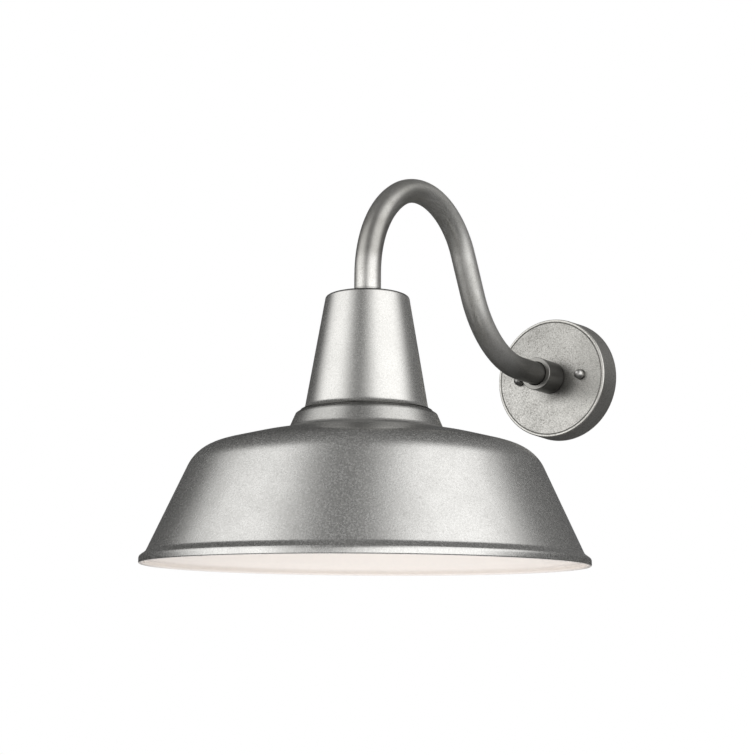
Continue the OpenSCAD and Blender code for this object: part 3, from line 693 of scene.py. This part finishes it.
addPiece("porcelainSocket", [makePorcelain()], "root", ["socket_porcelain"],
         [porcelain], closedRows=False)

# The thread: the lamp's screw cap and the socket's shell follow one helix of one pitch
thread = {"pitch": 3.63, "depth": 0.42, "around": 96}


# Radius falls from the crest by depth * (0.5 - 0.5 cos(turn)), and the turn runs with height
# and angle; it fades out over one pitch at both ends
def helix(low, top, depth):
    def ripple(t, h):
        fade = ramp(np.minimum(h - low, top - h), 0, thread["pitch"])
        return depth * fade * (0.5 - 0.5 * np.cos(2 * math.pi * h / thread["pitch"] + t))
    return ripple


# Lamp's screw cap: a threaded sleeve with an edge at its top, all but closed at the middle
cap = {"r": 13.15, "top": -36.5, "low": -58.0, "wall": 0.4, "edge": 0.5, "threadTop": 1.0,
       "threadLow": 1.2, "hole": 0.02, "rows": 90}


def makeCap():
    c = cap
    heights = np.linspace(c["top"] - c["edge"], c["low"], c["rows"])
    wave = helix(c["low"] + c["threadLow"], c["top"] - c["threadTop"], -thread["depth"])
    side = turned(upright(c["r"], heights), thread["around"], ripple=wave)
    inner = turned(upright(c["r"] - c["wall"], heights)[::-1], thread["around"], ripple=wave)
    under = c["top"] - c["wall"]
    over = turned([(c["r"] - thread["depth"] - 2 * c["wall"], under), (c["hole"], under),
                   (c["hole"], c["top"]), (c["r"] - c["edge"], c["top"])], thread["around"])
    return np.concatenate([over[2:], side, inner, over[:2]])


addPiece("lampScrewCap", [makeCap()], "lamp", ["lamp_cap"], [capMetal])

# Socket's shell: a sleeve that is threaded inside and plain outside
shell = {"r": 13.3, "out": 14.2, "top": -31.0, "low": -59.0, "threadTop": 2.0, "threadLow": 0.5,
         "rows": 110}


def makeShell():
    s = shell
    heights = np.linspace(s["top"], s["low"], s["rows"])
    wave = helix(s["low"] + s["threadLow"], s["top"] - s["threadTop"], thread["depth"])
    inner = turned(upright(s["r"], heights), thread["around"], ripple=wave)
    outer = turned(upright(s["out"], heights)[::-1], thread["around"])
    return np.concatenate([inner, outer])


addPiece("socketShell", [makeShell()], "root", ["socket_screw_shell"], [brass])

# Lamp glass: a blown pear shape with one even wall
bulb = {"neckR": 12.7, "top": -52.0, "corner": -67.0, "r": 30.0, "side": -91.2, "low": -141.2,
        "bends": [22.0, 24.0], "tip": 0.05, "wall": 0.8, "around": 144, "stepDeg": 4.0}


# The line runs down outside and back up inside, and is started half-way on, so that the
# inner pole comes first and the outer one last
def makeBulb():
    b = bulb
    points = [(b["neckR"], b["top"]), (b["neckR"], b["corner"]), (b["r"], b["side"]),
              (b["r"], b["low"]), (0, b["low"])]
    radii = [*b["bends"], b["r"] - b["tip"]]
    outer, inner = sheetProfile(points, radii, b["wall"], b["stepDeg"])
    outer[-1, 0] = inner[-1, 0] = 0
    profile = np.concatenate([outer, inner[::-1]])
    return turned(np.roll(profile, len(profile) // 2, 0), b["around"])


addPiece("lampBulb", [makeBulb()], "lamp", ["lamp_glass"], [frosted],
         closedRows=False)

# Wire connectors: ribbed cones, closed at their tips and open over the leads. The ribs come
# in between two radii, and between two distances from the foot and from the tip
connector = {
    "x": 1.4, "y": -7.0, "reach": 20.0, "length": 17.0, "r": 4.6, "tip": 3.4, "bore": 1.15,
    "grip": 7.0, "edges": [1.2, 0.6, 0.3, 0], "ribs": 14, "rib": 0.35, "ribR": (2.6, 3.4),
    "ribFoot": (1.5, 4.0), "ribTip": (1.0, 3.0), "around": 168, "spacing": 1.2,
}


def makeConnector(sign):
    c = connector
    path = filleted([(0, c["length"]), (c["tip"], c["length"]), (c["r"], 0), (c["bore"], 0),
                     (c["bore"], c["grip"]), (0, c["grip"])], c["edges"], spacing=c["spacing"])
    t = np.linspace(0, 2 * math.pi, c["around"], endpoint=False)[None, :]
    r, h = path[:, :1], path[:, 1:]
    side = ramp(r, *c["ribR"]) * ramp(h, *c["ribFoot"]) * ramp(c["length"] - h, *c["ribTip"])
    r = r - c["rib"] * side * (0.5 - 0.5 * np.cos(c["ribs"] * t))
    return np.stack([-sign * c["x"] + r * np.cos(t), c["y"] + r * np.sin(t),
                     sign * (c["reach"] + h + 0 * t)], -1)


addPiece("wireConnectors", [makeConnector(sign) for sign in (1, -1)], "root",
         ["wire_connectors"], [orangeNylon], closedRows=False)

# Gasket: a soft square-cut foam ring with rounded edges
gasket = {"out": 58.9, "wide": 4.0, "thick": 3.0, "edge": 0.6, "seam": (1.0, 0.9),
          "around": 192, "stepDeg": 15.0, "spacing": 1.0}


# The ring's line starts and ends on its back, with the seam's two points next to each other
def makeGasket():
    g = gasket
    w, (start, end) = g["out"] - g["wide"], g["seam"]
    corners = [(w + start, 0), (g["out"], 0), (g["out"], g["thick"]), (w, g["thick"]), (w, 0),
               (w + end, 0)]
    return turned(filleted(corners, [g["edge"]] * 4, g["stepDeg"], g["spacing"]), g["around"],
                  "wall")


addPiece("foamGasket", [makeGasket()], "root", ["wall_gasket"], [foam])

# CAD pieces that keep their own shape get their finish here
finishes = {
    zinc: ["mounting_strap", "mounting_studs", "stud_lock_nuts", "arm_end_plug",
           "arm_lock_washer", "neck_end_plug", "shade_screws", "shade_screw_nuts",
           "socket_bracket", "bracket_screws"],
    greenZinc: ["ground_screw"],
    brass: ["arm_nipple", "arm_lock_nut", "neck_nipple", "neck_lock_nut", "bracket_nut",
            "socket_contact"],
    foam: ["neck_seal_washer"],
    greenLead: ["ground_lead"],
    blackLead: ["hot_lead"],
    whiteLead: ["neutral_lead"],
    solder: ["lamp_contact"],
    blackGlass: ["lamp_insulator"],
    clearGlass: ["lamp_stem"],
    tungsten: ["lamp_filament"],
}
for finish, names in finishes.items():
    for name in names:
        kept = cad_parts[name]
        kept.data.materials.clear()
        kept.data.materials.append(finish)
print("inner pieces ready")


# Surroundings: a plain pale floor, a white backdrop, and a soft studio of two tall bright
# panels either side of the lantern's front, which only its metal and glass show. Angles are
# in degrees, and heights are the sine of the angle above the horizon
studio = {
    "ambient": 1.05, "facing": -64.0, "droop": 0.006, "fall": 0.30, "head": (0.99, 0.80),
    "foot": (-0.5, -0.1), "ground": (-0.1, 0.5, 0.13, 0.185),
    "behind": {"turn": -118.0, "range": (0.1, 0.95), "share": 0.5},
}

# Each panel has its azimuth from facing and its lean per degree of height. It is at full
# light up to one distance from its middle and dark from another one on, which grows with
# height, and its drooping top edge ends and is still full at two heights
panels = [
    {"azimuth": 41.0, "lean": 0.66, "full": 20.0, "end": 57.5, "grow": 0.28, "strength": 1.68,
     "top": (1.48, 1.29)},
    {"azimuth": -54.0, "lean": -0.43, "full": 12.0, "end": 52.5, "grow": 0.20, "strength": 1.52,
     "top": (1.34, 1.12)},
]


def makeWorld():
    s = studio
    world = bpy.data.worlds.new("studio")
    bpy.context.scene.world = world
    world.use_nodes = True
    t = world.node_tree
    t.nodes.clear()
    place = addNode(t, "TexCoord").outputs["Generated"]

    def along(degrees):
        a = math.radians(degrees)
        return addNode(t, "VectorMath", {"operation": "DOT_PRODUCT"}, i0=place,
                       i1=(math.cos(a), math.sin(a), 0)).outputs["Value"]

    # Turned so that the seam of the azimuth is behind the wall
    height = measure(t, place, "Z")
    turn = calc(t, "ARCTAN2", along(s["facing"] + 90), along(s["facing"]))
    azimuth = product(t, turn, 180 / math.pi)
    rise = product(t, calc(t, "ARCSINE", height), 180 / math.pi)
    # The panels' top edges droop to the sides, and their light falls off with height
    drooped = total(t, height, product(t, calc(t, "ABSOLUTE", azimuth), s["droop"]))
    lit = []
    for p in panels:
        off = calc(t, "SUBTRACT", azimuth, total(t, product(t, rise, p["lean"]), p["azimuth"]))
        end = total(t, product(t, rise, p["grow"]), p["end"])
        across = spread(t, calc(t, "ABSOLUTE", off), end, p["full"], 0.0, p["strength"])
        lit.append(product(t, across, spread(t, drooped, *p["top"])))
    falling = calc(t, "SUBTRACT", 1.0, product(t, height, s["fall"]))
    light = product(t, total(t, *lit), spread(t, height, *s["foot"]),
                    spread(t, height, *s["head"]), falling)
    # A faint light from all round, brighter above and dimmer to the left
    b = s["behind"]
    dimmed = spread(t, along(s["facing"] + b["turn"]), *b["range"], 1.0, b["share"])
    light = total(t, light, product(t, spread(t, height, *s["ground"]), dimmed))
    # Metal and glass see the studio, all else gets an even light, and the backdrop is white
    path = addNode(t, "LightPath").outputs
    seen = calc(t, "MAXIMUM", path["Is Camera Ray"], path["Is Transmission Ray"])
    strength = mixValue(t, path["Is Glossy Ray"], s["ambient"], light)
    strength = mixValue(t, seen, strength, 1.0)
    back = addNode(t, "Background", Color=(1, 1, 1, 1), Strength=strength)
    out = t.nodes.new("ShaderNodeOutputWorld")
    t.links.new(back.outputs[0], out.inputs[0])


# Floor, in metres, which is there for pictures only
floorPlane = {"z": -1.3, "size": 12.0, "grey": 0.86, "roughness": 0.8}


def makeFloor():
    half, z = floorPlane["size"] / 2, floorPlane["z"]
    mesh = bpy.data.meshes.new("floor")
    corners = [(-half, -half, z), (half, -half, z), (half, half, z), (-half, half, z)]
    mesh.from_pydata(corners, [], [(0, 1, 2, 3)])
    floor = bpy.data.objects.new("floor", mesh)
    bpy.context.scene.collection.objects.link(floor)
    material, _, _ = newMaterial("paleFloor", Base_Color=grey(floorPlane["grey"]),
                                 Roughness=floorPlane["roughness"])
    floor.data.materials.append(material)
    floor.visible_glossy = False


# Two soft square lights in front, above and below, in metres and watts
lights = {
    "key": {"place": (0.9, -1.7, 0.8), "size": 1.4, "power": 8},
    "fill": {"place": (0.25, -1.3, -0.9), "size": 1.4, "power": 4.5},
}
lightTarget = Vector((0.0, -0.25, -0.05))


def makeLight(name, place, size, power):
    data = bpy.data.lights.new(name, "AREA")
    data.shape, data.size, data.size_y, data.energy = "RECTANGLE", size, size, power
    light = bpy.data.objects.new(name, data)
    bpy.context.scene.collection.objects.link(light)
    light.location = place
    light.rotation_euler = (lightTarget - Vector(place)).to_track_quat("-Z", "Y").to_euler()
    light.visible_glossy = False


makeWorld()
makeFloor()
for name, settings in lights.items():
    makeLight(name, **settings)

# Camera: below the shade's lip, to the right of the lantern, looking up at it. The focal
# length and the width of the view share one unit of their own
view = {"place": (654.68, -1216.37, -250.75), "yaw": 36.060, "pitch": 10.503, "roll": 0.397,
        "focal": 1375.1, "width": 755.0, "sensor": 36.0, "near": 0.01, "far": 100.0}


def makeCamera():
    yaw, pitch, roll = (math.radians(view[k]) for k in ("yaw", "pitch", "roll"))
    ahead = Vector((-math.sin(yaw) * math.cos(pitch), math.cos(yaw) * math.cos(pitch),
                    math.sin(pitch)))
    right = Vector((math.cos(yaw), math.sin(yaw), 0))
    up = right.cross(ahead)
    across = right * math.cos(roll) + up * math.sin(roll)
    above = up * math.cos(roll) - right * math.sin(roll)
    data = bpy.data.cameras.new("camera")
    data.sensor_width = view["sensor"]
    data.lens = view["focal"] / view["width"] * view["sensor"]
    data.clip_start, data.clip_end = view["near"], view["far"]
    camera = bpy.data.objects.new("camera", data)
    bpy.context.scene.collection.objects.link(camera)
    turn = Matrix((across, above, -ahead)).transposed().to_4x4()
    camera.matrix_world = Matrix.Translation(Vector(view["place"]) * mm) @ turn
    bpy.context.scene.camera = camera


makeCamera()
bpy.context.scene.view_settings.view_transform = "Standard"
print("studio ready")
